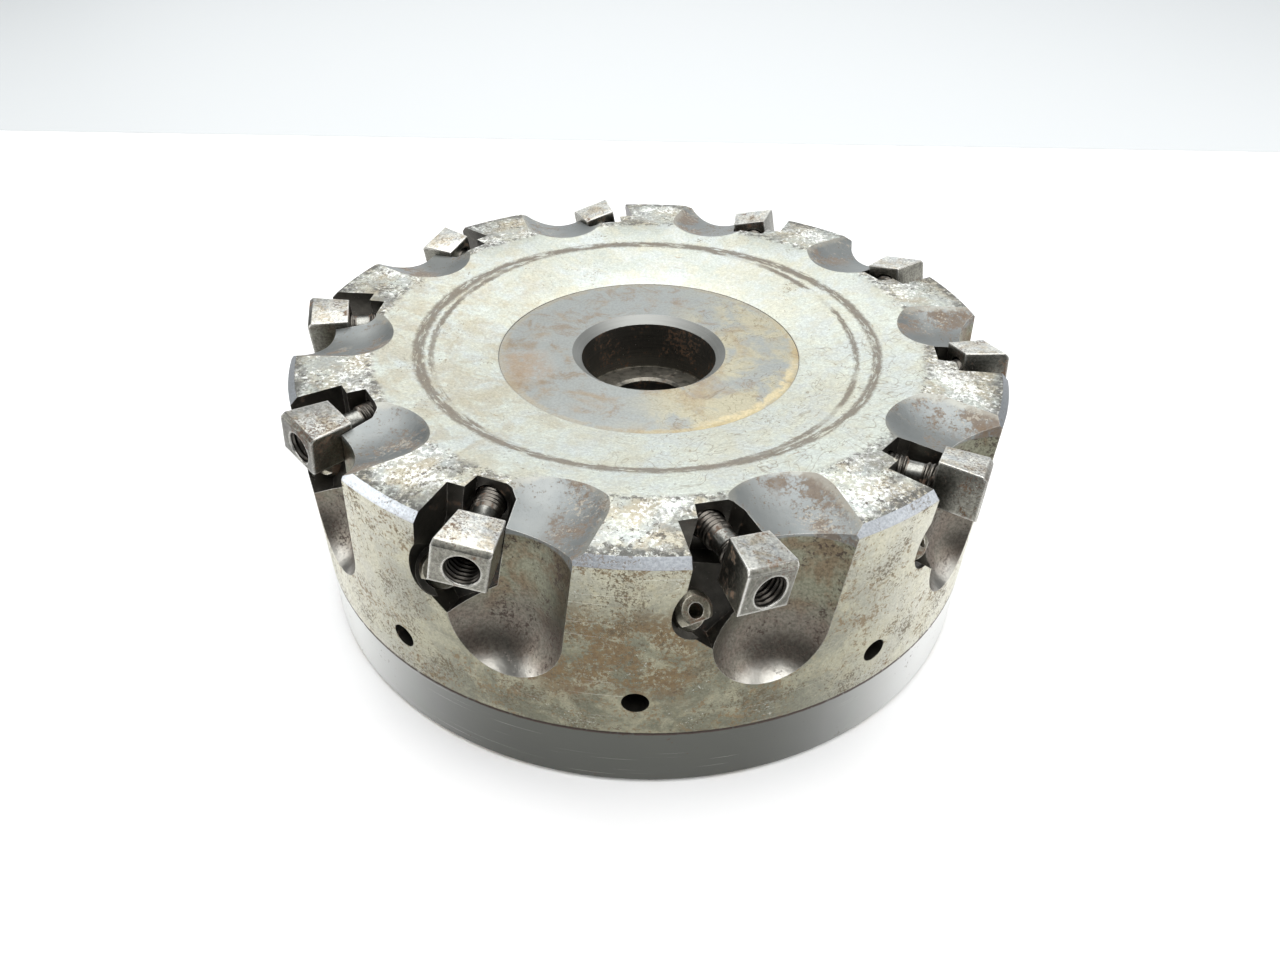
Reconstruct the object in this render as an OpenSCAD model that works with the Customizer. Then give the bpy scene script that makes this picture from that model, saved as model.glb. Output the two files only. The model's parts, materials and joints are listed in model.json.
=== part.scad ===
// Shell face mill with ten wedge-clamped insert stations.
// Origin: centre of the ground mounting face. +Z runs up the spindle axis towards the cutting face.

/* [Assembly] */
// Sub-part to draw, or all of them
// Number of insert stations
stations = 10; // [10]
// Angle of station 1 about the spindle axis, degrees
phase = -4.2; // [-18:0.1:18]

/* [Body] */
// Radius of the body at the mounting face
body_r = 73.6; // [68:0.1:80]
// Radius of the body just under the rim chamfer
rim_r = 74.2; // [68:0.1:80]
// Height of the scribed line where the lower band ends
band_z = 14; // [8:0.1:24]
// Height of the raised outer zone of the face
face_z = 55.6; // [45:0.1:65]
// Radius where the dished face meets the raised outer zone
crease_r = 58.4; // [50:0.1:66]
// Height of the dished face at its inner edge
dish_z = 50.85; // [45:0.05:60]
// Radius of the central recess
recess_r = 32.4; // [24:0.1:40]
// Height of the central recess floor
recess_z = 50.6; // [40:0.1:60]
// Rim chamfer, width
rim_ch = 1.5; // [0.5:0.1:3]

/* [Bore] */
// Pilot bore diameter
pilot_d = 31.8; // [20:0.05:50]
// Pilot bore depth
pilot_depth = 24; // [10:0.5:35]
// Retaining screw hole diameter
screw_hole_d = 18; // [10:0.1:26]
// Counterbore diameter for the retaining screw head
cbore_d = 29.2; // [20:0.1:40]
// Height of the counterbore floor
cbore_z = 38; // [25:0.1:50]
// Width of the chamfer round the counterbore
cbore_ch_w = 2; // [0.5:0.1:4]
// Depth of the chamfer round the counterbore
cbore_ch_d = 1.5; // [0.5:0.1:4]
// Keyway width
key_w = 12.8; // [8:0.05:25]
// Keyway depth
key_depth = 7.5; // [3:0.1:12]
// Outer end of the keyways, from the axis
key_r = 38; // [25:0.5:60]

/* [Slots] */
// Angle of the wedge slot from the station radius, degrees
slot_turn = 15.5; // [0:0.5:25]
// Lean of the slot, the axial rake, degrees
slot_lean = 11; // [0:0.5:20]
// Distance of the slot datum from the spindle axis
slot_x = 65.5; // [60:0.1:70]
// Sideways position of the slot datum
slot_y = 3.1; // [0:0.1:6]

/* [Wedges] */
// Width at the inner end
wedge_wi = 8; // [5:0.1:10]
// Width at the outer end
wedge_wo = 10; // [6:0.1:12]
// Length along the slot
wedge_l = 8.7; // [6:0.1:12]
// Height
wedge_h = 8.5; // [6:0.1:12]
// Gap between the wedge and the slot wall
wedge_gap = 0.12; // [0.05:0.01:0.4]
// Position of the outer end when clamped, along the slot
wedge_clamped = 5.7; // [3:0.1:8]
// How far each wedge stands out from its clamped place
wedge_out = [0.8, 1.8, 1.3, 0.1, 0.3, 2.5, 2.9, 5.3, 5.7, 4.9]; // [0:0.1:6]

/* [Screws] */
// Outside diameter of the clamp screw threads
screw_d = 5.9; // [4:0.05:8]
// Diameter of the plain neck of the clamp screw
neck_d = 4.6; // [3:0.05:6]
// Running clearance of the clamp screw, radial
screw_gap = 0.07; // [0.02:0.01:0.1]
// Depth of the screw axis under the slot datum
screw_drop = 5.5; // [4:0.1:7]
// Distance of the screw axis from the slot wall
screw_side = 4.6; // [3:0.1:6]

/* [Locators] */
// Diameter of the locator pin
pin_d = 6.8; // [5:0.1:9]
// Length of the locator pin
pin_l = 25; // [12:0.5:30]
// Downward angle of the locator pin towards its inner end, degrees
pin_dip = 42; // [20:1:60]
// Diameter of the relief round the pin nose
relief_d = 9.4; // [7:0.1:12]
// Diameter of the locking screw in each land
lock_d = 4.8; // [3:0.1:7]
// Height of the locking screw holes
lock_z = 22.6; // [16:0.1:30]
// Angle of the locking screw hole from its station, degrees
lock_turn = -14.8; // [-18:0.1:-10]

/* [Gullets] */
// Radius of the chip gullet scoop
gullet_r = 12.8; // [10:0.1:16]
// Distance of the scoop axis from the spindle axis
gullet_x = 80.1; // [76:0.1:84]
// Height of the centre of the round scoop bottom
gullet_z = 35.8; // [30:0.1:42]
// Radius of the trough on the face
trough_r = 18; // [12:0.5:26]
// Depth of the trough under the raised zone
trough_depth = 2.8; // [1:0.1:5]

/* [Hidden] */
step_a = 360 / stations;
pin_nose = [71.4, -8.9, 42.9];
pin_yaw = 194.8;

module at_station(i) { rotate([0, 0, phase + step_a * i]) children(); }

// The slot frame: x runs out along the slot, y leaves the wall, z follows the lean.
module in_slot() {
  translate([slot_x, slot_y, face_z]) rotate([0, 0, slot_turn]) rotate([-slot_lean, 0, 0]) children();
}

module screw_axis(x) {
  translate([x, -screw_side, -screw_drop]) rotate([0, 90, 0]) children();
}

// The pin frame: z runs from the nose down the pin into the body.
module in_pin() {
  translate(pin_nose) rotate([0, 90 + pin_dip, pin_yaw]) children();
}

module blank() {
  rotate_extrude($fn = 180) polygon([
    [pilot_d / 2 + 1, 0], [body_r - 0.8, 0], [body_r, 0.8], [body_r, band_z - 0.25],
    [body_r - 0.25, band_z], [body_r + 0.03, band_z + 0.3], [rim_r, face_z - 0.2 - rim_ch],
    [rim_r - rim_ch, face_z - 0.2], [crease_r, face_z], [recess_r + 0.5, dish_z],
    [recess_r, recess_z + 0.1], [recess_r - 0.1, recess_z], [cbore_d / 2 + cbore_ch_w, recess_z],
    [cbore_d / 2, recess_z - cbore_ch_d], [cbore_d / 2, cbore_z], [screw_hole_d / 2 + 0.6, cbore_z],
    [screw_hole_d / 2, cbore_z - 0.6], [screw_hole_d / 2, pilot_depth + 0.6],
    [screw_hole_d / 2 + 0.6, pilot_depth], [pilot_d / 2, pilot_depth], [pilot_d / 2, 1]]);
}

// Chip gullet: a leaning scoop down the periphery with a round bottom, and a trough on the face.
module gullet() {
  translate([gullet_x, 4.75, gullet_z]) rotate([-8, 0, 0]) union() {
    sphere(r = gullet_r, $fn = 96);
    cylinder(r = gullet_r, h = 40, $fn = 96);
  }
  translate([62, 8.6, face_z - trough_depth + trough_r]) rotate([0, 92, 1.5]) union() {
    sphere(r = trough_r, $fn = 96);
    cylinder(r = trough_r, h = 30, $fn = 96);
  }
}

// Room for the insert: open to the rim and to the face, closed inside by a sloping seat.
// It never reaches behind the wall the wedge slides along.
module insert_room() {
  intersection() {
    in_slot() translate([-30, -40, -40]) cube([70, 40, 60]);
    translate([50, 0, 0]) rotate([90, 0, 90]) linear_extrude(40)
      polygon([[-9.4, 62], [-11.2, 49], [-12, 44], [-9.6, 38.6], [-6.4, 35.7], [2.6, 41.2], [7, 62]]);
    translate([0, 20, 0]) rotate([90, 0, 0]) linear_extrude(40)
      polygon([[63.4, 62], [63.4, 48], [70.6, 34], [86, 34], [86, 62]]);
  }
}

// Room for the wedge and its screw.
module wedge_room() {
  in_slot() translate([0, 0, -10.6]) linear_extrude(24)
    polygon([[-4.3, 0], [-6.2, -1.2], [-8, -7.6], [-4.9, -8.9], [24, -8.9], [24, 0]]);
}

module screw_bore() {
  in_slot() screw_axis(-14.2) {
    cylinder(d = screw_d + 2 * screw_gap, h = 12, $fn = 48);
    translate([0, 0, -0.9]) cylinder(d1 = 2.6, d2 = screw_d + 2 * screw_gap, h = 0.9, $fn = 48);
  }
}

module locator_bore() {
  in_pin() {
    translate([0, 0, -12]) cylinder(d = relief_d, h = 14.6, $fn = 64);
    translate([0, 0, 2]) cylinder(d = pin_d + 0.06, h = pin_l - 1.4, $fn = 48);
  }
  rotate([0, 0, lock_turn]) translate([55.6, 0, lock_z]) rotate([0, 90, 0])
    cylinder(d = lock_d + 0.12, h = 30, $fn = 48);
}

module cutter_body() {
  color("#a3a6a8") difference() {
    blank();
    for (s = [0, 180]) rotate([0, 0, s])
      translate([pilot_d / 2 - 3, -key_w / 2, -1]) cube([key_r - pilot_d / 2 + 3, key_w, key_depth + 1]);
    for (i = [0:stations - 1]) at_station(i) {
      gullet();
      insert_room();
      wedge_room();
      screw_bore();
      locator_bore();
    }
  }
}

module wedge(i) {
  e = wedge_clamped + wedge_out[i];
  color("#8d8a86") at_station(i) in_slot() translate([e, 0, -0.6]) difference() {
    translate([0, 0, -wedge_h]) linear_extrude(wedge_h)
      polygon([[-wedge_l, -wedge_gap], [-0.3, -wedge_gap], [0, -wedge_gap - 0.3], [0, -wedge_wo],
               [-wedge_l, -wedge_wi]]);
    translate([0.01, -12, -0.9]) rotate([0, -45, 0]) cube([3, 14, 3]);
    translate([-wedge_l - 1, -screw_side, 0.6 - screw_drop]) rotate([0, 90, 0])
      cylinder(d = screw_d + 2 * screw_gap, h = wedge_l + 2, $fn = 48);
  }
}

module clamp_screw(i) {
  s = wedge_out[i] / 2;
  color("#77777a") at_station(i) in_slot() screw_axis(s) difference() {
    rotate_extrude($fn = 48) polygon([[0, -13.9], [screw_d / 2 - 0.7, -13.9], [screw_d / 2, -13.2],
      [screw_d / 2, -6.4], [neck_d / 2, -5.9], [neck_d / 2, -2.7], [screw_d / 2, -2.2],
      [screw_d / 2, 2.5], [screw_d / 2 - 0.6, 3.1], [0, 3.1]]);
    translate([0, 0, 0.6]) cylinder(r = 1.83, h = 4, $fn = 6);
  }
}

module locator(i) {
  color("#6f6a64") at_station(i) in_pin() difference() {
    rotate_extrude($fn = 48) polygon([[0, 0], [pin_d / 2 - 0.9, 0], [pin_d / 2, 0.9],
      [pin_d / 2, pin_l - 0.8], [pin_d / 2 - 0.8, pin_l], [0, pin_l]]);
    translate([0, 0, -1]) cylinder(d = 2.6, h = 7, $fn = 32);
    translate([1.9, -6, -1]) cube([6, 12, 4.6]);
  }
}

module lock_screw(i) {
  color("#55524e") at_station(i) rotate([0, 0, lock_turn]) translate([70.4, 0, lock_z])
    rotate([0, -90, 0]) difference() {
      rotate_extrude($fn = 40) polygon([[0, 0], [lock_d / 2 - 0.4, 0], [lock_d / 2, 0.4],
        [lock_d / 2, 10.6], [1, 12], [0, 12]]);
      translate([0, 0, -1]) cylinder(r = 1.38, h = 3.4, $fn = 6);
    }
}

module wedge_01() { wedge(0); }
module wedge_02() { wedge(1); }
module wedge_03() { wedge(2); }
module wedge_04() { wedge(3); }
module wedge_05() { wedge(4); }
module wedge_06() { wedge(5); }
module wedge_07() { wedge(6); }
module wedge_08() { wedge(7); }
module wedge_09() { wedge(8); }
module wedge_10() { wedge(9); }
module clamp_screw_01() { clamp_screw(0); }
module clamp_screw_02() { clamp_screw(1); }
module clamp_screw_03() { clamp_screw(2); }
module clamp_screw_04() { clamp_screw(3); }
module clamp_screw_05() { clamp_screw(4); }
module clamp_screw_06() { clamp_screw(5); }
module clamp_screw_07() { clamp_screw(6); }
module clamp_screw_08() { clamp_screw(7); }
module clamp_screw_09() { clamp_screw(8); }
module clamp_screw_10() { clamp_screw(9); }
module locator_01() { locator(0); }
module locator_02() { locator(1); }
module locator_03() { locator(2); }
module locator_04() { locator(3); }
module locator_05() { locator(4); }
module locator_06() { locator(5); }
module locator_07() { locator(6); }
module locator_08() { locator(7); }
module locator_09() { locator(8); }
module locator_10() { locator(9); }
module lock_screw_01() { lock_screw(0); }
module lock_screw_02() { lock_screw(1); }
module lock_screw_03() { lock_screw(2); }
module lock_screw_04() { lock_screw(3); }
module lock_screw_05() { lock_screw(4); }
module lock_screw_06() { lock_screw(5); }
module lock_screw_07() { lock_screw(6); }
module lock_screw_08() { lock_screw(7); }
module lock_screw_09() { lock_screw(8); }
module lock_screw_10() { lock_screw(9); }

cutter_body();
wedge_01();
wedge_02();
wedge_03();
wedge_04();
wedge_05();
wedge_06();
wedge_07();
wedge_08();
wedge_09();
wedge_10();
clamp_screw_01();
clamp_screw_02();
clamp_screw_03();
clamp_screw_04();
clamp_screw_05();
clamp_screw_06();
clamp_screw_07();
clamp_screw_08();
clamp_screw_09();
clamp_screw_10();
locator_01();
locator_02();
locator_03();
locator_04();
locator_05();
locator_06();
locator_07();
locator_08();
locator_09();
locator_10();
lock_screw_01();
lock_screw_02();
lock_screw_03();
lock_screw_04();
lock_screw_05();
lock_screw_06();
lock_screw_07();
lock_screw_08();
lock_screw_09();
lock_screw_10();
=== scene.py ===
"""Looks of the face mill: worn and rusty steel, threads and worn edges, in plain studio light."""
import json
import math

import bmesh
import bpy
from mathutils import Matrix, Vector


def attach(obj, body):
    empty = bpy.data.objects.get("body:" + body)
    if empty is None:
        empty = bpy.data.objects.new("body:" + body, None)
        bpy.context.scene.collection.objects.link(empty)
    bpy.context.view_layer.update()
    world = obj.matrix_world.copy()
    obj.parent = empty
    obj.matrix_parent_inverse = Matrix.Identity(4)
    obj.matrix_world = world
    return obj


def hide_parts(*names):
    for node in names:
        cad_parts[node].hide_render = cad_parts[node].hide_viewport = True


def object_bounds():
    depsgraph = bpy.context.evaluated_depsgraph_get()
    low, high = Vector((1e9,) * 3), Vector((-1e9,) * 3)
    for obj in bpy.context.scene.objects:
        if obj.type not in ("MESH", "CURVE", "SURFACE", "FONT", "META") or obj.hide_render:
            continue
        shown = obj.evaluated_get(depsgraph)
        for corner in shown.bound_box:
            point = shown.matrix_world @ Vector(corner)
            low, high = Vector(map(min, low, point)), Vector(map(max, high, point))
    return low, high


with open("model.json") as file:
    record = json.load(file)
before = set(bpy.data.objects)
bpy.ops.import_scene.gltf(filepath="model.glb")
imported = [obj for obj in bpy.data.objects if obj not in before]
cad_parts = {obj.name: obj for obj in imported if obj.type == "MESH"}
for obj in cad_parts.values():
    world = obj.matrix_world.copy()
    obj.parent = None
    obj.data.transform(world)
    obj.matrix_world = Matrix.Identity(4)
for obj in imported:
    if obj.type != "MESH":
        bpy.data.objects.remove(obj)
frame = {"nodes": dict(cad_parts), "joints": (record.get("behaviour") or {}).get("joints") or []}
cad_low, cad_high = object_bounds()

MM = 0.001
STATIONS = 10
STEP = math.tau / STATIONS

# Camera, as the object is seen: metres and degrees
CAM_BACK, CAM_HEIGHT = 0.1815, 0.1523
CAM_PITCH, CAM_YAW, CAM_ROLL = 36.92, -0.19, 0.91
CAM_LENS, CAM_SHIFT = 26.72, (-0.0032, -0.0019)
BACKDROP_Y = 0.304

# Shape of one station, millimetres and degrees, in the part's own frame
SLOT_TURN, SLOT_LEAN = 15.5, 11.0
SCOOP_CENTRE, SCOOP_R, SCOOP_LEAN = Vector((80.1, 4.75, 35.8)), 12.8, 8.0
TROUGH_R, TROUGH_END, TROUGH_YAW, TROUGH_PITCH = 18.0, Vector((62.0, 8.6, 70.8)), 1.5, 92.0
SCOOP_LIP_Z, SCOOP_LOW_Z, TROUGH_LOW_Z, BORE_SEAT_Z = 43.0, 27.6, 52.2, 38.0
RECESS_R, CREASE_R, BORE_R, BORE_CHAMFER = 32.4, 58.4, 14.6, 2.0
RIM_R, BODY_R, BAND_Z, RIM_CHAMFER_Z = 74.2, 73.6, 14.0, 53.8
BACK_Z, KEYWAY_TOP_Z, BORE_TOP_Z, POCKET_FLOOR_Z, FACE_LOW_Z = 0.9, 8.0, 49.0, 16.0, 50.0

# Fasteners and edges, millimetres
THREAD_PITCH, THREAD_DEPTH = 0.907, 0.27
SCREW_CREST, NECK_R, NECK_INNER, NECK_OUTER = 2.72, 2.28, 9.0, 5.8
SCREW_SOCKET, SCREW_SOCKET_DEEP = 1.83, 2.6
WEDGE_HOLE_R, WEDGE_EDGE, PIN_EDGE = 3.035, 0.28, 0.16
LOCK_CREST, LOCK_PITCH, LOCK_DEPTH, LOCK_SOCKET, LOCK_SOCKET_DEEP = 2.38, 0.79, 0.25, 1.38, 2.0


# ---------------------------------------------------------------- shader building
class Paint:
    """Builds one metal material out of layers. Masks and values are node sockets, in millimetres."""

    def __init__(self, name, colour, rough, metal=1.0):
        self.mat = bpy.data.materials.new(name)
        self.mat.use_nodes = True
        self.tree = self.mat.node_tree
        self.tree.nodes.clear()
        self.coord = self.node("ShaderNodeTexCoord")
        scale = self.node("ShaderNodeVectorMath", operation="SCALE")
        self.put(scale.inputs[0], self.coord.outputs["Object"])
        scale.inputs["Scale"].default_value = 1 / MM
        self.place = scale.outputs[0]
        split = self.node("ShaderNodeSeparateXYZ")
        self.put(split.inputs[0], self.place)
        self.x, self.y, self.z = split.outputs
        self.r = self.math("SQRT", self.add(self.math("POWER", self.x, 2), self.math("POWER", self.y, 2)))
        self.turn = self.math("ARCTAN2", self.y, self.x)
        self.colour, self.rough, self.metal = self.rgb(colour), rough, metal
        self.height = 0.0

    def node(self, kind, **settings):
        made = self.tree.nodes.new(kind)
        for key, value in settings.items():
            setattr(made, key, value)
        return made

    def put(self, socket, value):
        if isinstance(value, bpy.types.NodeSocket):
            self.tree.links.new(value, socket)
        else:
            socket.default_value = value

    def rgb(self, colour):
        made = self.node("ShaderNodeRGB")
        made.outputs[0].default_value = (*colour, 1)
        return made.outputs[0]

    def math(self, operation, a, b=0.0, clamp=False):
        made = self.node("ShaderNodeMath", operation=operation, use_clamp=clamp)
        self.put(made.inputs[0], a)
        self.put(made.inputs[1], b)
        return made.outputs[0]

    def add(self, a, b):
        return self.math("ADD", a, b)

    def mul(self, a, *others):
        for b in others:
            a = self.math("MULTIPLY", a, b)
        return a

    def most(self, a, b):
        return self.math("MAXIMUM", a, b)

    def flip(self, a):
        return self.math("SUBTRACT", 1.0, a, clamp=True)

    def above(self, value, at, soft):
        """0 under at, 1 over it, with a smooth step that is 2 * soft wide."""
        made = self.node("ShaderNodeMapRange", interpolation_type="SMOOTHSTEP")
        self.put(made.inputs["Value"], value)
        self.put(made.inputs["From Min"], at - soft)
        self.put(made.inputs["From Max"], at + soft)
        return made.outputs[0]

    def between(self, value, low, high, soft):
        return self.mul(self.above(value, low, soft), self.flip(self.above(value, high, soft)))

    def around(self, centre_x, centre_y, squash=1.0):
        """Distance from an upright line, in rings that may be narrower across."""
        dx = self.math("POWER", self.mul(self.add(self.x, -centre_x), squash), 2)
        dy = self.math("POWER", self.add(self.y, -centre_y), 2)
        return self.math("SQRT", self.add(dx, dy))

    def toward(self, azimuth, half, soft):
        """1 on the side of the part that lies within half degrees of an azimuth."""
        a = math.radians(azimuth)
        side = self.add(self.mul(self.x, math.cos(a)), self.mul(self.y, math.sin(a)))
        return self.above(self.math("DIVIDE", side, self.r), math.cos(math.radians(half)), soft)

    def faces_up(self, at, soft):
        """1 on surfaces whose normal points up in the part's own frame."""
        split = self.node("ShaderNodeSeparateXYZ")
        self.put(split.inputs[0], self.coord.outputs["Normal"])
        return self.above(split.outputs[2], at, soft)

    def round_station(self, first_turn):
        """How far round its station a place is, from 0 at the slot to 1 at the next slot."""
        return self.math("FRACT", self.add(self.mul(self.turn, 1 / STEP), STATIONS - first_turn / STEP))

    def vector(self, x, y, z):
        made = self.node("ShaderNodeCombineXYZ")
        for socket, value in zip(made.inputs, (x, y, z)):
            self.put(socket, value)
        return made.outputs[0]

    def turned(self, along, across, down=1.0):
        """Place in rings about the part's axis, stretched for turning and grinding marks."""
        around = self.mul(self.turn, 60 * along)
        return self.vector(around, self.mul(self.r, across), self.mul(self.z, down))

    def shifted(self, seed):
        made = self.node("ShaderNodeVectorMath", operation="ADD")
        self.put(made.inputs[0], self.place)
        made.inputs[1].default_value = (seed * 13.7, seed * 7.3, seed * 3.1)
        return made.outputs[0]

    def noise(self, scale, detail=3.0, rough=0.6, seed=0, place=None, distort=0.0):
        made = self.node("ShaderNodeTexNoise")
        self.put(made.inputs["Vector"], self.shifted(seed) if place is None else place)
        made.inputs["Scale"].default_value = scale
        made.inputs["Detail"].default_value = detail
        made.inputs["Roughness"].default_value = rough
        made.inputs["Distortion"].default_value = distort
        return made.outputs[0]

    def mix(self, mask, a, b):
        made = self.node("ShaderNodeMix", data_type="RGBA")
        self.put(made.inputs["Factor"], mask)
        self.put(made.inputs[6], a)
        self.put(made.inputs[7], b)
        return made.outputs[2]

    def blend(self, mask, a, b):
        if a == b and not isinstance(a, bpy.types.NodeSocket):
            return a
        made = self.node("ShaderNodeMix", data_type="FLOAT")
        self.put(made.inputs["Factor"], mask)
        self.put(made.inputs[2], a)
        self.put(made.inputs[3], b)
        return made.outputs[0]

    def edges(self, radius, low=0.02, high=0.2):
        """1 on edges and 0 on flats, within a radius in millimetres."""
        soft = self.node("ShaderNodeBevel", samples=4)
        soft.inputs["Radius"].default_value = radius * MM
        flat = self.node("ShaderNodeNewGeometry")
        dot = self.node("ShaderNodeVectorMath", operation="DOT_PRODUCT")
        self.put(dot.inputs[0], soft.outputs[0])
        self.put(dot.inputs[1], flat.outputs["Normal"])
        bend = self.flip(dot.outputs["Value"])
        return self.above(bend, (low + high) / 2, (high - low) / 2)

    def layer(self, mask, colour=None, rough=None, metal=None, height=None):
        """Lays a new finish over the ones below wherever the mask is 1."""
        if colour is not None:
            over = self.rgb(colour) if isinstance(colour, tuple) else colour
            self.colour = self.mix(mask, self.colour, over)
        if rough is not None:
            self.rough = self.blend(mask, self.rough, rough)
        if metal is not None:
            self.metal = self.blend(mask, self.metal, metal)
        if height is not None:
            self.height = self.add(self.height, self.mul(mask, height))

    def shade(self, value, low, high, where=None):
        """Makes the colour darker or lighter by a factor that runs from low to high."""
        factor = self.add(self.mul(value, high - low), low)
        if where is not None:
            factor = self.add(self.mul(self.add(factor, -1.0), where), 1.0)
        made = self.node("ShaderNodeVectorMath", operation="SCALE")
        self.put(made.inputs[0], self.colour)
        self.put(made.inputs["Scale"], factor)
        self.colour = made.outputs[0]

    def tint(self, factor, where):
        """Makes the colour darker or lighter by one factor in one place."""
        self.shade(1.0, 1.0, factor, where)

    def done(self, edge=0.15):
        """Wires the layers to the shader. Heights are in millimetres; edge is the rounding of the edges."""
        shader = self.node("ShaderNodeBsdfPrincipled")
        out = self.node("ShaderNodeOutputMaterial")
        self.put(shader.inputs["Base Color"], self.colour)
        self.put(shader.inputs["Roughness"], self.rough)
        self.put(shader.inputs["Metallic"], self.metal)
        bump = self.node("ShaderNodeBump")
        bump.inputs["Strength"].default_value = 1.0
        bump.inputs["Distance"].default_value = MM
        self.put(bump.inputs["Height"], self.height)
        if edge:
            bevel = self.node("ShaderNodeBevel", samples=4)
            bevel.inputs["Radius"].default_value = edge * MM
            self.put(bump.inputs["Normal"], bevel.outputs[0])
        self.put(shader.inputs["Normal"], bump.outputs[0])
        self.put(out.inputs["Surface"], shader.outputs[0])
        return self.mat


RUST, DARK_RUST = (0.21, 0.125, 0.07), (0.10, 0.06, 0.04)
OCHRE, GOLD = (0.46, 0.35, 0.18), (0.50, 0.39, 0.19)
BLUE_GREY = (0.40, 0.43, 0.45)


def grain(p, scale, low, high, seed=8, where=None):
    """Fine salt-and-pepper change of tone."""
    p.shade(p.above(p.noise(scale, 3, 0.7, seed), 0.5, 0.15), low, high, where)


def stains(p, scale, amount, colour, strength=0.5, seed=1, where=None):
    """Soft patches of another tint with a broken edge."""
    mask = p.mul(p.above(p.noise(scale, 5, 0.68, seed, distort=0.5), 0.62 - amount, 0.09), strength)
    if where is not None:
        mask = p.mul(mask, where)
    p.layer(mask, colour)


def dried(p, scale, seed, where):
    """Thin wandering outlines where drops of fluid dried."""
    drop = p.noise(scale, 3, 0.55, seed, distort=0.8)
    line = p.most(p.between(drop, 0.50, 0.508, 0.004), p.between(drop, 0.58, 0.586, 0.004))
    p.layer(p.mul(line, where, 0.6), (0.22, 0.18, 0.12), 0.6, 0.6)


def specks(p, scale, amount, colour, strength=0.8, seed=1, where=None):
    """Small pits and specks in clusters, with clean metal between."""
    fine = p.noise(scale, 3, 0.75, seed)
    broad = p.noise(0.12, 4, 0.65, seed + 5)
    mask = p.mul(p.above(p.add(fine, p.mul(broad, 0.75)), 1.10 - amount, 0.028), strength)
    if where is not None:
        mask = p.mul(mask, where)
    p.layer(mask, colour, 0.7, 0.4, -0.012)


def rust_patches(p, amount, scale=0.07, seed=3, colour=RUST, where=None, fine_scale=1.0):
    """Blotches of rust, broken up into grains at their edges."""
    broad = p.noise(scale, 4, 0.6, seed, distort=0.4)
    fine = p.noise(fine_scale, 4, 0.8, seed + 2)
    mask = p.above(p.add(broad, p.mul(fine, 0.6)), 0.98 - amount, 0.05)
    if where is not None:
        mask = p.mul(mask, where)
    tone = p.mix(p.noise(1.1, 3, 0.7, seed + 4), p.rgb(colour), p.rgb(DARK_RUST))
    p.layer(mask, tone, 0.8, 0.15, 0.01)


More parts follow.
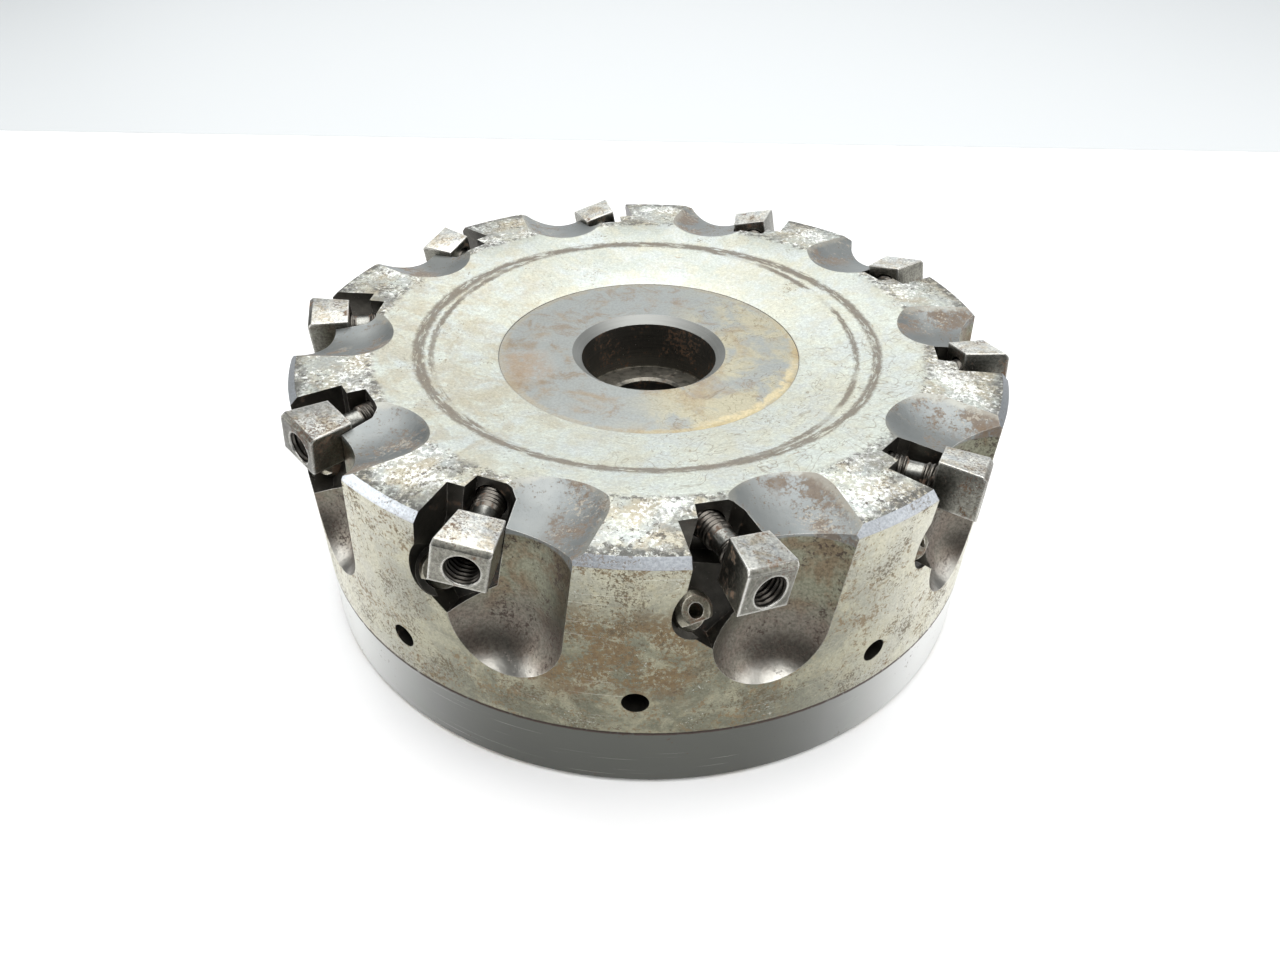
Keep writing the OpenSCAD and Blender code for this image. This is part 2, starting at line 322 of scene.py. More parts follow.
def steel_face(first_turn):
    p = Paint("steel_face", (0.625, 0.66, 0.60), 0.48)
    p.shade(p.noise(0.05, 3, 0.5, 1), 0.88, 1.08)
    # painted shade: the face is made darker on the side toward azimuth 90
    p.tint(0.77, p.toward(90, 55, 0.35))
    stains(p, 0.09, 0.10, (0.58, 0.54, 0.40), 0.40, 2)
    stains(p, 0.12, 0.10, (0.54, 0.58, 0.59), 0.5, 4)
    stains(p, 0.16, 0.10, (0.44, 0.37, 0.25), 0.5, 6, p.toward(190, 60, 0.3))
    outside = p.above(p.r, CREASE_R, 1.0)
    grain(p, 1.5, 0.90, 1.05)
    grain(p, 3.6, 0.93, 1.04, 9)
    grain(p, 1.6, 0.80, 1.10, 11, outside)
    marks = p.noise(1.0, 3, 0.6, place=p.turned(0.05, 2.2))
    p.shade(marks, 0.93, 1.06)
    p.layer(1.0, height=p.mul(marks, 0.012))
    stains(p, 0.30, 0.05, (0.50, 0.48, 0.38), 0.45, 7)
    specks(p, 1.5, 0.02, (0.24, 0.21, 0.16), 0.8, 1)
    dried(p, 0.09, 70, p.mul(p.toward(-45, 55, 0.3), p.flip(outside)))
    arcs = p.above(p.noise(1.0, 4, 0.75, place=p.turned(0.09, 0.55)), 0.68, 0.03)
    p.layer(p.mul(arcs, p.above(p.r, 34.0, 1.0), 0.7), (0.33, 0.26, 0.17), 0.6, 0.5)

    land = p.above(p.add(p.r, p.mul(p.noise(0.4, 3, 0.7, 31), 3.0)), CREASE_R + 1.0, 1.0)
    stains(p, 0.22, 0.10, (0.34, 0.36, 0.36), 0.45, 12, land)
    stains(p, 0.13, 0.08, (0.44, 0.36, 0.23), 0.55, 14, land)
    specks(p, 1.1, 0.16, (0.92, 0.93, 0.90), 0.75, 17, land)
    specks(p, 0.9, 0.09, (0.11, 0.10, 0.085), 0.85, 15, land)
    specks(p, 2.2, 0.06, (0.12, 0.09, 0.06), 0.8, 18, land)
    by_slot = p.mul(land, p.between(p.round_station(first_turn), 0.66, 1.04, 0.09))
    grime = p.above(p.add(p.noise(0.35, 4, 0.7, 44), p.mul(p.noise(1.2, 3, 0.8, 45), 0.4)), 0.70, 0.06)
    p.layer(p.mul(grime, by_slot, 0.6), (0.13, 0.125, 0.11), 0.55, 0.7)
    crease = p.between(p.r, CREASE_R - 0.9, CREASE_R + 0.9, 0.7)
    chipped = p.above(p.noise(0.8, 4, 0.7, 30), 0.54, 0.06)
    p.layer(p.mul(crease, chipped, 0.8), (0.10, 0.095, 0.085), 0.6, 0.6)
    dirty = p.above(p.add(p.r, p.mul(p.noise(0.22, 4, 0.7, 40), 9.0)), 75.3, 1.6)
    caked = p.above(p.noise(0.9, 4, 0.8, 41), 0.46, 0.05)
    p.layer(p.mul(dirty, caked, 0.9), (0.085, 0.083, 0.075), 0.6, 0.6)

    broken = p.noise(0.7, 5, 0.78, 20)
    wander = p.mul(p.noise(0.7, 4, 0.75, 22), 1.6)
    turn_mark = p.add(p.around(-0.3, 0.4), wander)
    left = p.mul(p.between(turn_mark, 48.1, 50.5, 0.5), p.toward(190, 50, 0.2))
    outer = p.most(p.between(turn_mark, 48.4, 50.4, 0.45), left)
    inner = p.between(p.add(p.around(-1.0, 0.4, 1.075), wander), 48.6, 49.9, 0.35)
    presence = p.above(p.noise(0.10, 2, 0.5, 21), 0.45, 0.10)
    ring = p.most(outer, p.mul(inner, p.add(p.mul(presence, 0.75), 0.25)))
    tone = p.mix(p.noise(0.5, 4, 0.7, 24), p.rgb((0.18, 0.135, 0.09)), p.rgb((0.14, 0.135, 0.12)))
    streaks = p.noise(1.0, 5, 0.72, place=p.turned(0.16, 0.9))
    p.layer(p.mul(ring, p.above(streaks, 0.42, 0.07), 0.88), tone, 0.72, 0.35, -0.05)

    recess = p.flip(p.above(p.r, RECESS_R, 0.25))
    p.layer(p.mul(recess, 0.9), (0.37, 0.39, 0.38), 0.38)
    right = p.toward(-15, 75, 0.35)
    stains(p, 0.10, 0.16, (0.55, 0.51, 0.36), 0.85, 50, p.mul(recess, right))
    stains(p, 0.07, 0.04, (0.38, 0.27, 0.15), 0.6, 52, recess)
    stains(p, 0.20, 0.02, (0.30, 0.21, 0.12), 0.6, 54, recess)
    dried(p, 0.13, 72, p.mul(recess, right))
    rough_r = p.add(p.r, p.mul(p.noise(0.35, 4, 0.7, 55), 2.4))
    line = p.between(rough_r, RECESS_R - 0.2, RECESS_R + 1.7, 0.45)
    stain_line = p.mix(p.toward(-35, 55, 0.15), p.rgb((0.36, 0.31, 0.22)), p.rgb(GOLD))
    p.layer(p.mul(line, p.above(p.noise(0.4, 4, 0.7, 34), 0.40, 0.10), recess, 0.55), stain_line, 0.5, 0.6)
    smooth_r = p.add(p.r, p.mul(p.noise(0.2, 3, 0.6, 57), 3.0))
    arc = p.mul(p.between(smooth_r, 31.4, 33.2, 0.5), p.toward(-38, 30, 0.08), recess)
    thin = p.above(p.noise(0.3, 3, 0.7, 58), 0.46, 0.08)
    p.layer(p.mul(arc, thin, 0.85), (0.66, 0.57, 0.36), 0.4, 0.8)
    patch = p.mul(p.between(p.r, 22.0, 31.0, 2.5), p.toward(196, 13, 0.02), p.above(broken, 0.44, 0.08))
    p.layer(p.mul(patch, 0.6), (0.29, 0.21, 0.14), 0.6, 0.4)
    grain(p, 2.0, 0.90, 1.06, 60)

    chamfer = p.flip(p.above(p.r, BORE_R + BORE_CHAMFER, 0.08))
    p.layer(chamfer, (0.29, 0.295, 0.28), 0.50)
    turned = p.noise(1.0, 2, 0.7, place=p.turned(0.02, 5.0, 5.0))
    p.shade(p.most(turned, p.flip(chamfer)), 0.75, 1.0)
    return p.done()


def steel_rim():
    p = Paint("steel_rim", (0.35, 0.37, 0.39), 0.42)
    p.shade(p.noise(1.0, 3, 0.6, place=p.turned(0.04, 3.0, 3.0)), 0.86, 1.12)
    grain(p, 2.0, 0.80, 1.08)
    # painted light: the rim is made lighter on the side toward azimuth 228
    p.tint(1.5, p.toward(228, 26, 0.08))
    low = p.flip(p.above(p.add(p.z, p.mul(p.noise(0.6, 3, 0.7, 3), 0.8)), RIM_CHAMFER_Z + 0.6, 0.3))
    p.layer(p.mul(low, 0.6), (0.34, 0.34, 0.35), 0.45)
    specks(p, 1.9, 0.06, (0.2, 0.17, 0.14), 0.7)
    return p.done()


def steel_side():
    p = Paint("steel_side", (0.70, 0.69, 0.60), 0.44)
    p.shade(p.noise(0.06, 3, 0.5, 1), 0.86, 1.10)
    marks = p.noise(1.0, 3, 0.6, place=p.turned(0.04, 0.4, 4.0))
    p.shade(marks, 0.94, 1.06)
    p.layer(1.0, height=p.mul(marks, 0.010))
    # painted shade and reflection: the side facing azimuth -92 gets a dark olive tone, strongest low down
    shaded_front = p.toward(-92, 38, 0.19)
    painted_front_shade = p.mul(shaded_front, p.flip(p.above(p.z, 58.0, 24.0)))
    p.layer(p.mul(painted_front_shade, 0.9), (0.115, 0.115, 0.075), 0.38)
    stains(p, 0.10, 0.10, (0.56, 0.53, 0.38), 0.35, 3)
    band = p.flip(p.above(p.z, BAND_Z, 0.15))
    p.layer(p.mul(band, 0.85), (0.76, 0.77, 0.77), 0.36)
    # painted reflection: the ground band is made near black on the side facing azimuth -92
    p.layer(p.mul(band, shaded_front, 0.9), (0.045, 0.047, 0.036), 0.30)
    # painted shade: the side and its band are made darker toward azimuth 90
    p.tint(0.62, p.toward(90, 75, 0.2))
    upper = p.above(p.z, BAND_Z + 0.3, 0.2)
    grain(p, 1.7, 0.87, 1.07, where=upper)
    grain(p, 3.6, 0.92, 1.05, 9, upper)
    stains(p, 0.40, 0.03, (0.40, 0.35, 0.21), 0.22, 31, upper)
    specks(p, 1.6, 0.0, (0.90, 0.90, 0.84), 0.35, 27, upper)
    patch = p.mul(p.toward(-93.5, 10.5, 0.007), p.between(p.z, 24.0, 44.0, 4.0))
    grains = p.above(p.noise(1.0, 4, 0.85, 37), 0.44, 0.05)
    rust_patches(p, 0.20, 0.16, 4, (0.29, 0.21, 0.095), p.mul(patch, grains), 1.1)
    rust_patches(p, -0.02, 0.08, 9, (0.27, 0.19, 0.10), where=upper, fine_scale=0.8)
    specks(p, 1.1, 0.10, (0.23, 0.165, 0.09), 0.8, 1, upper)
    specks(p, 1.9, 0.11, (0.13, 0.10, 0.06), 0.8, 25, upper)
    specks(p, 1.4, 0.0, DARK_RUST, 0.6, 21)
    scratch = p.above(p.noise(1.0, 2, 0.6, place=p.turned(0.035, 0.5, 5.0)), 0.70, 0.02)
    p.layer(p.mul(scratch, 0.5), (0.75, 0.75, 0.70), 0.35)
    wobble = p.add(p.z, p.mul(p.noise(0.9, 3, 0.7, 33), 0.35))
    line = p.between(wobble, BAND_Z - 0.2, BAND_Z + 0.55, 0.12)
    broken = p.above(p.noise(0.8, 3, 0.7, 35), 0.36, 0.10)
    p.layer(p.mul(line, broken, 0.85), (0.085, 0.06, 0.05), 0.7, 0.5)
    return p.done()


def steel_gullet(first_turn):
    p = Paint("steel_gullet", (0.19, 0.19, 0.14), 0.38)
    p.shade(p.noise(0.15, 3, 0.5, 1), 0.8, 1.15)
    p.layer(1.0, height=p.mul(p.noise(1.2, 3, 0.5, 2), 0.03))
    stains(p, 0.16, 0.10, (0.15, 0.11, 0.07), 0.8, 5)
    lip = p.add(p.z, p.mul(p.noise(0.12, 3, 0.6, 6), 10.0))
    hollow = p.flip(p.above(lip, SCOOP_LIP_Z, 5.0))
    p.layer(p.mul(hollow, 0.75), (0.15, 0.13, 0.115), 0.40)
    grain(p, 1.8, 0.76, 1.18)
    specks(p, 1.3, 0.10, (0.06, 0.04, 0.03), 0.8, 14)
    # partly painted highlight: the lowest part of the scoop is made lighter, and its lower roughness is
    # real
    low = p.add(p.z, p.mul(p.noise(0.3, 3, 0.7, 15), 2.5))
    painted_lip_highlight = p.flip(p.above(low, SCOOP_LOW_Z, 1.6))
    p.layer(p.mul(painted_lip_highlight, 0.75), (0.50, 0.49, 0.45), 0.27)

    trough = p.above(p.z, TROUGH_LOW_Z, 0.25)
    p.layer(trough, (0.225, 0.24, 0.238), 0.50, 1.0)
    p.layer(p.mul(trough, p.above(p.noise(0.11, 3, 0.5, 7), 0.48, 0.12), 0.5), (0.28, 0.29, 0.28), 0.50)
    far_side = p.mul(trough, p.between(p.round_station(first_turn), 0.25, 0.60, 0.06))
    rust_patches(p, 0.05, 0.13, 17, (0.24, 0.185, 0.125), p.mul(trough, 0.75), 1.3)
    rust_patches(p, 0.15, 0.16, 23, (0.27, 0.20, 0.13), p.mul(far_side, 0.7), 1.1)
    specks(p, 1.3, 0.10, (0.40, 0.37, 0.31), 0.8, 29, far_side)
    margin = p.above(p.add(p.z, p.mul(p.noise(0.5, 4, 0.7, 18), 1.6)), 55.7, 0.35)
    p.layer(p.mul(margin, 0.6), (0.36, 0.355, 0.31), 0.5)
    specks(p, 1.6, 0.06, (0.16, 0.12, 0.08), 0.7, 19, trough)
    ridge = p.edges(0.35, 0.05, 0.3)
    p.layer(p.mul(ridge, 0.6), (0.72, 0.71, 0.66), 0.32)
    return p.done()


def pocket_steel():
    p = Paint("pocket_steel", (0.060, 0.056, 0.048), 0.34, 0.85)
    p.shade(p.noise(0.5, 4, 0.6, 1), 0.4, 1.7)
    p.layer(1.0, height=p.mul(p.noise(1.5, 4, 0.6, 2), 0.05))
    rust_patches(p, 0.0, 0.2, 5, (0.12, 0.08, 0.05))
    p.layer(p.above(p.noise(2.6, 2, 0.8, 6), 0.74, 0.02), (0.80, 0.80, 0.76), 0.25, 1.0)
    worn = p.mul(p.edges(0.30), p.above(p.noise(0.9, 3, 0.6, 8), 0.5, 0.12))
    p.layer(p.mul(worn, 0.5), (0.42, 0.40, 0.36), 0.35)
    return p.done()


def bore_steel():
    p = Paint("bore_steel", (0.09, 0.085, 0.075), 0.42, 0.9)
    p.shade(p.noise(1.0, 3, 0.6, place=p.turned(0.03, 0.3, 3.0)), 0.6, 1.6)
    specks(p, 1.2, 0.10, (0.16, 0.09, 0.05), 0.8, 3)
    p.layer(p.above(p.noise(2.2, 2, 0.8, 6), 0.73, 0.02), (0.8, 0.78, 0.72), 0.3, 1.0)
    ledge = p.between(p.z, BORE_SEAT_Z - 0.8, BORE_SEAT_Z + 0.3, 0.2)
    p.layer(p.mul(ledge, p.above(p.noise(0.6, 3, 0.6, 8), 0.4, 0.2), 0.8), (0.33, 0.31, 0.26), 0.45)
    return p.done()


def back_steel():
    p = Paint("back_steel", (0.52, 0.52, 0.485), 0.4)
    p.shade(p.noise(0.05, 3, 0.5, 1), 0.85, 1.12)
    marks = p.noise(1.0, 3, 0.6, place=p.turned(0.05, 2.0))
    p.shade(marks, 0.9, 1.1)
    p.layer(1.0, height=p.mul(marks, 0.012))
    grain(p, 2.8, 0.85, 1.08)
    stains(p, 0.08, 0.10, OCHRE, 0.45, 3)
    rust_patches(p, 0.03, 0.06, 3)
    specks(p, 1.9, 0.05, DARK_RUST, 0.8)
    return p.done()


def wedge_steel():
    p = Paint("wedge_steel", (0.22, 0.215, 0.185), 0.36)
    p.shade(p.noise(0.35, 4, 0.6, 1), 0.55, 1.4)
    p.layer(1.0, height=p.mul(p.noise(1.4, 4, 0.6, 2), 0.035))
    top = p.faces_up(0.8, 0.12)
    p.layer(top, (0.66, 0.66, 0.61), 0.42)
    stains(p, 0.30, 0.07, (0.40, 0.33, 0.22), 0.7, 4, top)
    stains(p, 0.35, 0.06, BLUE_GREY, 0.6, 6, top)
    # painted shade and light: wedges are made darker toward azimuths 212, 288 and 172 and lighter toward
    # 252
    p.tint(0.52, p.toward(212, 22, 0.08))
    p.tint(0.72, p.toward(288, 14, 0.02))
    p.tint(0.74, p.toward(172, 16, 0.03))
    p.tint(1.06, p.toward(252, 12, 0.02))
    grain(p, 2.0, 0.66, 1.18)
    rust_patches(p, 0.03, 0.22, 5, (0.20, 0.135, 0.08))
    specks(p, 2.2, 0.08, DARK_RUST, 0.8)
    p.layer(p.above(p.noise(3.0, 2, 0.8, 6), 0.71, 0.02), (0.85, 0.84, 0.80), 0.25, 1.0)
    worn = p.mul(p.edges(0.8, 0.01, 0.12), p.above(p.noise(0.8, 3, 0.6, 8), 0.28, 0.12))
    p.layer(p.mul(worn, 0.9), (0.86, 0.85, 0.80), 0.3, 1.0)
    return p.done(0.25)


def hole_steel():
    p = Paint("hole_steel", (0.085, 0.078, 0.068), 0.40, 0.9)
    p.shade(p.noise(0.8, 4, 0.6, 1), 0.5, 1.5)
    specks(p, 2.0, 0.06, DARK_RUST, 0.7)
    return p.done(0)


def screw_steel():
    p = Paint("screw_steel", (0.13, 0.12, 0.105), 0.34)
    p.shade(p.noise(0.6, 4, 0.6, 1), 0.5, 1.5)
    rust_patches(p, 0.06, 0.3, 5, (0.15, 0.095, 0.06))
    worn = p.mul(p.edges(0.16), p.above(p.noise(1.2, 3, 0.6, 8), 0.46, 0.12))
    p.layer(p.mul(worn, 0.5), (0.52, 0.49, 0.43), 0.30, 1.0)
    return p.done(0.06)


def neck_steel():
    p = Paint("neck_steel", (0.30, 0.30, 0.275), 0.32)
    p.shade(p.noise(0.6, 4, 0.6, 1), 0.5, 1.25)
    grain(p, 2.4, 0.75, 1.15)
    specks(p, 2.2, 0.07, DARK_RUST, 0.8)
    return p.done(0)


def pin_steel():
    p = Paint("pin_steel", (0.25, 0.235, 0.185), 0.36)
    p.shade(p.noise(0.4, 4, 0.6, 1), 0.6, 1.35)
    grain(p, 2.8, 0.75, 1.2)
    rust_patches(p, 0.05, 0.25, 5, (0.19, 0.13, 0.08))
    specks(p, 2.2, 0.06, DARK_RUST, 0.8)
    worn = p.mul(p.edges(0.4), p.above(p.noise(0.9, 3, 0.6, 8), 0.36, 0.12))
    p.layer(p.mul(worn, 0.85), (0.80, 0.78, 0.71), 0.28, 1.0)
    return p.done(0.2)


def set_screw_steel():
    p = Paint("set_screw_steel", (0.035, 0.032, 0.028), 0.5, 0.9)
    p.shade(p.noise(0.6, 4, 0.6, 1), 0.5, 1.6)
    specks(p, 2.0, 0.08, DARK_RUST, 0.7)
    return p.done(0.1)


# ---------------------------------------------------------------- geometry
def station_frames():
    """One matrix a station: origin on the clamp screw's axis, X out along the slot, Z along its lean."""
    found = []
    lean = math.radians(SLOT_LEAN)
    for i in range(STATIONS):
        joint = next(j for j in frame["joints"] if j["name"] == f"clamp_screw_turn_{i + 1:02d}")
        out = -Vector(joint["axis"])
        side = Vector((0, 0, 1)).cross(out)
        up = Vector((0, 0, 1))
        y, z = side * math.cos(lean) - up * math.sin(lean), side * math.sin(lean) + up * math.cos(lean)
        turn = math.atan2(out.y, out.x) - math.radians(SLOT_TURN)
        place = Matrix.Translation(Vector(joint["pos_m"])) @ Matrix((out, y, z)).transposed().to_4x4()
        found.append((place, turn))
    return found


def extent(node, place):
    """Lowest and highest corner of a CAD node in a frame of its own."""
    back = place.inverted()
    points = [back @ v.co for v in frame["nodes"][node].data.vertices]
    low = Vector([min(p[k] for p in points) for k in range(3)])
    high = Vector([max(p[k] for p in points) for k in range(3)])
    return low, high


def finish_mesh(bm, name, materials, smooth=35.0):
    """Turns a bmesh into an object that is smooth across curves and sharp across edges."""
    mesh = bpy.data.meshes.new(name)
    bm.normal_update()
    for edge in bm.edges:
        faces = edge.link_faces
        edge.smooth = len(faces) == 2 and faces[0].normal.angle(faces[1].normal, 0) < math.radians(smooth)
    for face in bm.faces:
        face.smooth = True
    bm.to_mesh(mesh)
    bm.free()
    made = bpy.data.objects.new(name, mesh)
    bpy.context.scene.collection.objects.link(made)
    for material in materials:
        mesh.materials.append(material)
    return made


def stand_in(made, body, node):
    """The piece moves with its body and is shown in place of its CAD node."""
    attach(made, body)
    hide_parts(node)


def cad_mesh(node):
    bm = bmesh.new()
    bm.from_mesh(frame["nodes"][node].data)
    bmesh.ops.remove_doubles(bm, verts=bm.verts, dist=1e-6)
    return bm


def bevelled(bm, width, segments, angle=30.0):
    """Rounds the edges that are sharper than the angle."""
    bmesh.ops.dissolve_limit(bm, angle_limit=math.radians(0.6), verts=bm.verts, edges=bm.edges)
    bm.normal_update()
    sharp = [e for e in bm.edges if len(e.link_faces) == 2
             and e.link_faces[0].normal.angle(e.link_faces[1].normal, 0) > math.radians(angle)]
    bmesh.ops.bevel(bm, geom=sharp, offset=width * MM, offset_type="OFFSET", segments=segments,
                    profile=0.5, affect="EDGES", clamp_overlap=True, material=-1, loop_slide=True)
    return bm


def body_zone(centre, normal, first_turn):
    """Which finish a face of the cutter body has, from where it is on the body (millimetres)."""
    r = math.hypot(centre.x, centre.y)
    outward = (centre.x * normal.x + centre.y * normal.y) / max(r, 0.001)
    in_bore = r < BORE_R + BORE_CHAMFER + 0.5
    if centre.z < BACK_Z and normal.z < -0.5:
        return "back"
    if in_bore and centre.z < BORE_TOP_Z:
        return "bore" if centre.z > 1 else "back"
    if centre.z < KEYWAY_TOP_Z and outward < 0.7:
        return "back"
    # above the scribed line the side faces straight out; the line's groove and the lower edge slant
    straight_out = 0.97 if centre.z > BAND_Z + 1 else 0.5
    if r > BODY_R - 0.7 and centre.z < RIM_CHAMFER_Z + 0.1 and outward > straight_out:
        return "side"
    if r > RIM_R - 1.6 and centre.z > RIM_CHAMFER_Z - 0.2 and outward > 0.4 and normal.z > 0.4:
        return "rim"
    turn = (math.atan2(centre.y, centre.x) - first_turn + STEP / 2) % STEP - STEP / 2
    across = math.atan2(normal.y, normal.x) - math.atan2(centre.y, centre.x) + turn
    flat = math.hypot(normal.x, normal.y)
    scoop = Matrix.Rotation(-math.radians(SCOOP_LEAN), 3, "X") @ Vector((0, 0, 1))
    trough = Matrix.Rotation(math.radians(TROUGH_YAW), 3, "Z") @ Matrix.Rotation(
        math.radians(TROUGH_PITCH), 3, "Y") @ Vector((0, 0, 1))
    for k in (-1, 0, 1):
        point = Vector((r * math.cos(turn + k * STEP), r * math.sin(turn + k * STEP), centre.z))
        facing = Vector((flat * math.cos(across + k * STEP), flat * math.sin(across + k * STEP), normal.z))
        for start, axis, radius in ((SCOOP_CENTRE, scoop, SCOOP_R), (TROUGH_END, trough, TROUGH_R)):
            away = point - start
            away -= axis * max(away.dot(axis), 0)
            if abs(away.length - radius) < 0.12 and away.normalized().dot(facing) < -0.97:
                return "gullet"
    if normal.z > 0.95 and centre.z > FACE_LOW_Z or in_bore:
        return "face"
    return "pocket" if centre.z > POCKET_FLOOR_Z else "back"


def make_body(first_turn):
    finishes = {"face": steel_face(first_turn), "rim": steel_rim(), "side": steel_side(),
                "gullet": steel_gullet(first_turn), "pocket": pocket_steel(), "bore": bore_steel(),
                "back": back_steel()}
    names = list(finishes)
    bm = cad_mesh("cutter_body")
    bm.normal_update()
    for face in bm.faces:
        centre = face.calc_center_median() / MM
        face.material_index = names.index(body_zone(centre, face.normal, first_turn))
    made = finish_mesh(bm, "cutter_body_shell", list(finishes.values()), 25.0)
    stand_in(made, "cutter", "cutter_body")


def tube(bm, place, rings, material, sides=48):
    """A surface about X through rings of (x, radius or radius by angle), in millimetres."""
    made = []
    for x, radius in rings:
        ring = []
        for k in range(sides):
            a = math.tau * k / sides
            rad = radius(a) if callable(radius) else radius
            ring.append(bm.verts.new(place @ (Vector((x, rad * math.cos(a), rad * math.sin(a))) * MM)))
        made.append(ring)
    for low, high in zip(made, made[1:]):
        for k in range(sides):
            n = (k + 1) % sides
            face = bm.faces.new((low[k], low[n], high[n], high[k]))
            face.material_index = material


def hexagon(flat):
    """Radius of a hexagon with that inscribed radius, by angle."""
    def radius(a):
        return flat / math.cos((a + math.pi / 6) % (math.pi / 3) - math.pi / 6)
    return radius


def thread(crest, depth, pitch, x, hand, start, end):
    """Radius of a thread at x, by angle: a ridge that winds, fading at both ends of its length."""
    fade = max(0.0, min(1.0, (x - start) / 0.6, (end - x) / 0.6))

    def radius(a):
        phase = (x / pitch - hand * a / math.tau) % 1.0
        ridge = 1 - abs(2 * phase - 1)
        return crest - depth * (1 - min(1.0, ridge * 1.35)) * (0.25 + 0.75 * fade)
    return radius


def spaced(low, high, step):
    count = max(1, round((high - low) / step))
    return [low + (high - low) * k / count for k in range(count + 1)]


def make_clamp_screw(i, place, materials):
    node = f"clamp_screw_{i + 1:02d}"
    low, high = extent(node, place)
    inner, outer = low.x / MM, high.x / MM
    neck_a, neck_b = outer - NECK_INNER, outer - NECK_OUTER
    bm = bmesh.new()
    rings = [(inner, 0.2), (inner, SCREW_CREST - 0.75)]
    rings += [(x, thread(SCREW_CREST, THREAD_DEPTH, THREAD_PITCH, x, 1, inner, neck_a)) for x in
              spaced(inner + 0.5, neck_a - 0.3, THREAD_PITCH / 8)]
    rings += [(neck_a, NECK_R + 0.04), (neck_a + 0.3, NECK_R)]
    tube(bm, place, rings, 0)
    tube(bm, place, [(neck_a + 0.3, NECK_R), (neck_b - 0.3, NECK_R)], 1)
    rings = [(neck_b - 0.3, NECK_R), (neck_b, NECK_R + 0.06)]
    rings += [(x, thread(SCREW_CREST, THREAD_DEPTH, THREAD_PITCH, x, -1, neck_b, outer)) for x in
              spaced(neck_b + 0.3, outer - 0.5, THREAD_PITCH / 8)]
    socket = hexagon(SCREW_SOCKET)
    rings += [(outer - 0.1, SCREW_CREST - 0.55), (outer, SCREW_CREST - 0.65), (outer, 2.0),
              (outer - 0.25, socket), (outer - SCREW_SOCKET_DEEP, socket),
              (outer - SCREW_SOCKET_DEEP - 0.5, 0.1)]
    tube(bm, place, rings, 0)
    bmesh.ops.remove_doubles(bm, verts=bm.verts, dist=2e-6)
    made = finish_mesh(bm, node + "_threaded", materials, 40.0)
    stand_in(made, node, node)


def make_wedge(i, place, materials):
    node = f"wedge_{i + 1:02d}"
    low, high = extent(node, place)
    bm = bevelled(cad_mesh(node), WEDGE_EDGE, 3)
    inner, outer = low.x / MM + 0.35, high.x / MM - 0.35
    crest = WEDGE_HOLE_R - 0.02
    rings = [(inner, WEDGE_HOLE_R)]
    rings += [(x, thread(crest, THREAD_DEPTH, THREAD_PITCH, x, -1, inner, outer)) for x in
              spaced(inner, outer, THREAD_PITCH / 8)]
    rings.append((outer, WEDGE_HOLE_R))
    tube(bm, place, rings, 1)
    made = finish_mesh(bm, node + "_worn", materials, 35.0)
    stand_in(made, node, node)


def make_locator(i, material):
    node = f"locator_{i + 1:02d}"
    bm = bevelled(cad_mesh(node), PIN_EDGE, 2)
    made = finish_mesh(bm, node + "_worn", [material], 35.0)
    stand_in(made, "cutter", node)


def make_lock_screw(i, material):
    node = f"lock_screw_{i + 1:02d}"
    joint = next(j for j in frame["joints"] if j["name"] == f"lock_screw_turn_{i + 1:02d}")
    out = -Vector(joint["axis"])
    side = Vector((0, 0, 1)).cross(out)
    place = Matrix((out, side, Vector((0, 0, 1)))).transposed().to_4x4()
    place.translation = Vector(joint["pos_m"])
    low, high = extent(node, place)
    inner, outer = low.x / MM, high.x / MM
    rings = [(inner, 0.2), (inner, 1.0), (inner + 1.2, LOCK_CREST - 0.3)]
    rings += [(x, thread(LOCK_CREST, LOCK_DEPTH, LOCK_PITCH, x, 1, inner, outer)) for x in
              spaced(inner + 1.4, outer - 0.3, LOCK_PITCH / 6)]
    socket = hexagon(LOCK_SOCKET)
    rings += [(outer, LOCK_CREST - 0.4), (outer, 1.62), (outer - 0.2, socket),
              (outer - LOCK_SOCKET_DEEP, socket), (outer - LOCK_SOCKET_DEEP - 0.4, 0.1)]
    bm = bmesh.new()
    tube(bm, place, rings, 0, 36)
    made = finish_mesh(bm, node + "_threaded", [material], 40.0)
    stand_in(made, node, node)


# ---------------------------------------------------------------- stage, light and camera
def plain(name, colour, rough):
    mat = bpy.data.materials.new(name)
    mat.use_nodes = True
    shader = mat.node_tree.nodes["Principled BSDF"]
    shader.inputs["Base Color"].default_value = (*colour, 1)
    shader.inputs["Roughness"].default_value = rough
    return mat


def quad(name, corners, material):
    mesh = bpy.data.meshes.new(name)
    mesh.from_pydata(corners, [], [tuple(range(len(corners)))])
    mesh.materials.append(material)
    made = bpy.data.objects.new(name, mesh)
    bpy.context.scene.collection.objects.link(made)


def make_stage():
    """A white floor that turns a little greyer beyond a straight line, as behind the object."""
    half, z = 3.0, cad_low.z - 0.0002
    for name, near, high, material in (
            ("floor", -half, z, plain("floor_white", (0.93, 0.93, 0.93), 0.5)),
            ("backdrop", BACKDROP_Y, z + 0.0001, plain("backdrop_pale", (0.60, 0.62, 0.625), 0.6))):
        quad(name, [(-half, near, high), (half, near, high), (half, half, high), (-half, half, high)],
             material)


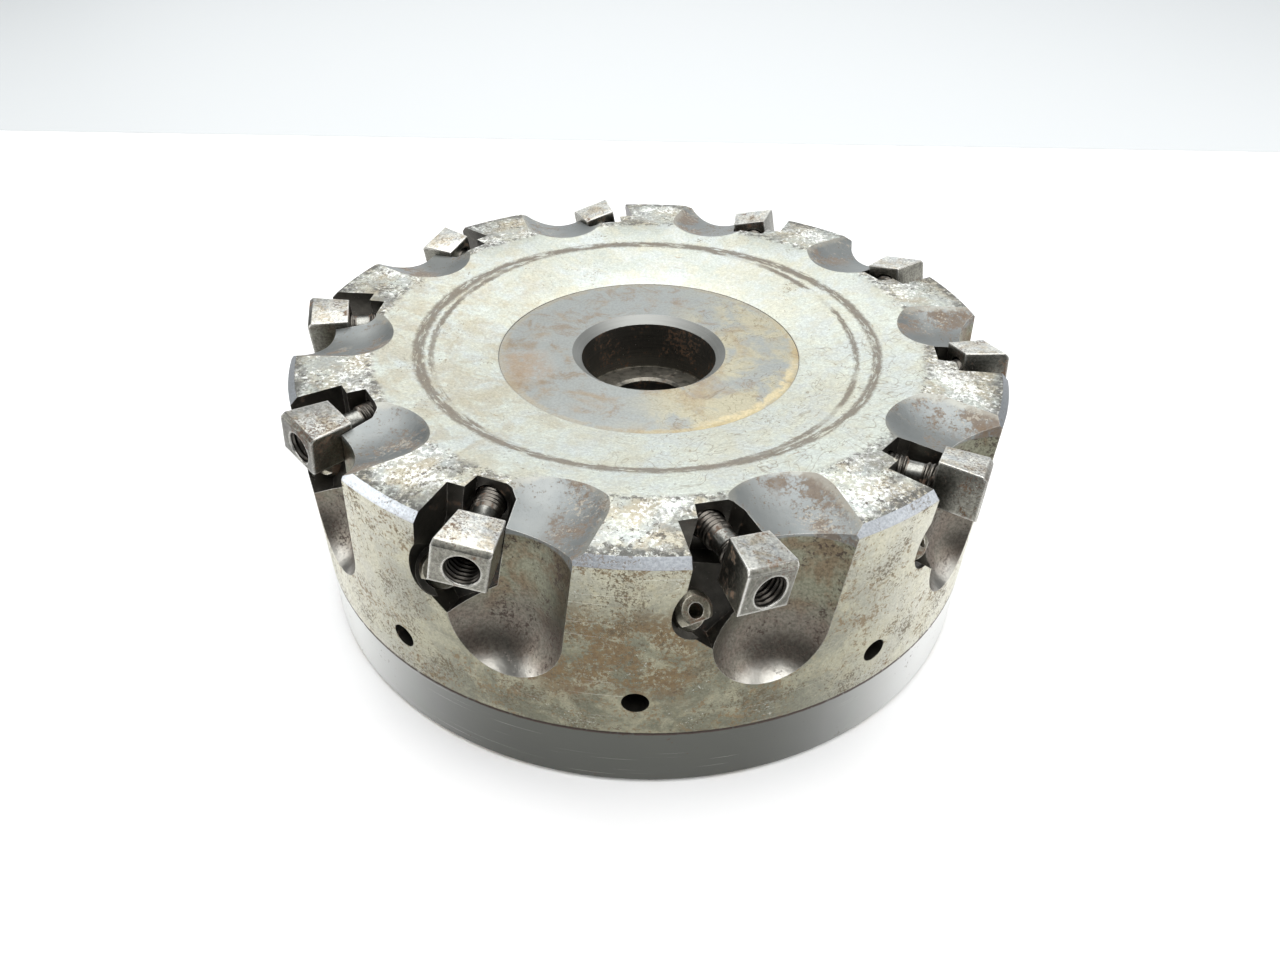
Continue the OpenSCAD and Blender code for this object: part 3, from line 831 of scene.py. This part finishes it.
def area_light(name, place, target, size, power, colour=(1, 1, 1)):
    data = bpy.data.lights.new(name, "AREA")
    data.shape, data.size, data.size_y = "RECTANGLE", size[0], size[1]
    data.energy, data.color = power, colour
    made = bpy.data.objects.new(name, data)
    made.location = place
    made.rotation_euler = (Vector(target) - Vector(place)).to_track_quat("-Z", "Y").to_euler()
    bpy.context.scene.collection.objects.link(made)


def make_light():
    world = bpy.data.worlds.new("studio")
    world.use_nodes = True
    shade = world.node_tree.nodes["Background"]
    shade.inputs["Color"].default_value = (0.92, 0.96, 1.0, 1)
    shade.inputs["Strength"].default_value = 0.16
    bpy.context.scene.world = world
    target = (0, 0, 0.03)
    area_light("overhead", (0.05, 0.02, 0.95), target, (1.8, 1.0), 18.5)
    area_light("behind", (0.2, 1.25, 0.34), target, (2.2, 0.6), 6.0, (0.96, 0.98, 1.0))
    area_light("right", (1.0, -0.15, 0.42), target, (0.7, 0.6), 3.8)
    area_light("left", (-1.0, -0.15, 0.36), target, (0.7, 0.5), 4.2)


def make_camera():
    pitch, yaw, roll = (math.radians(v) for v in (CAM_PITCH, CAM_YAW, CAM_ROLL))
    ahead = Vector((math.sin(yaw) * math.cos(pitch), math.cos(yaw) * math.cos(pitch), -math.sin(pitch)))
    right = Vector((math.cos(yaw), -math.sin(yaw), 0))
    up = right.cross(ahead)
    side = math.cos(roll) * right + math.sin(roll) * up
    top = -math.sin(roll) * right + math.cos(roll) * up
    data = bpy.data.cameras.new("camera")
    data.lens, data.sensor_width = CAM_LENS, 36.0
    data.shift_x, data.shift_y = CAM_SHIFT
    data.clip_start, data.clip_end = 0.01, 20
    made = bpy.data.objects.new("camera", data)
    made.matrix_world = Matrix.Translation((0, -CAM_BACK, CAM_HEIGHT)) @ Matrix(
        (side, top, -ahead)).transposed().to_4x4()
    bpy.context.scene.collection.objects.link(made)
    bpy.context.scene.camera = made


def make_all():
    stations = station_frames()
    make_body(stations[0][1])
    wedge, screw = [wedge_steel(), hole_steel()], [screw_steel(), neck_steel()]
    pin, lock = pin_steel(), set_screw_steel()
    for i, (place, _) in enumerate(stations):
        make_wedge(i, place, wedge)
        make_clamp_screw(i, place, screw)
        make_locator(i, pin)
        make_lock_screw(i, lock)


make_all()
make_stage()
make_light()
make_camera()
bpy.context.scene.view_settings.view_transform = "Standard"
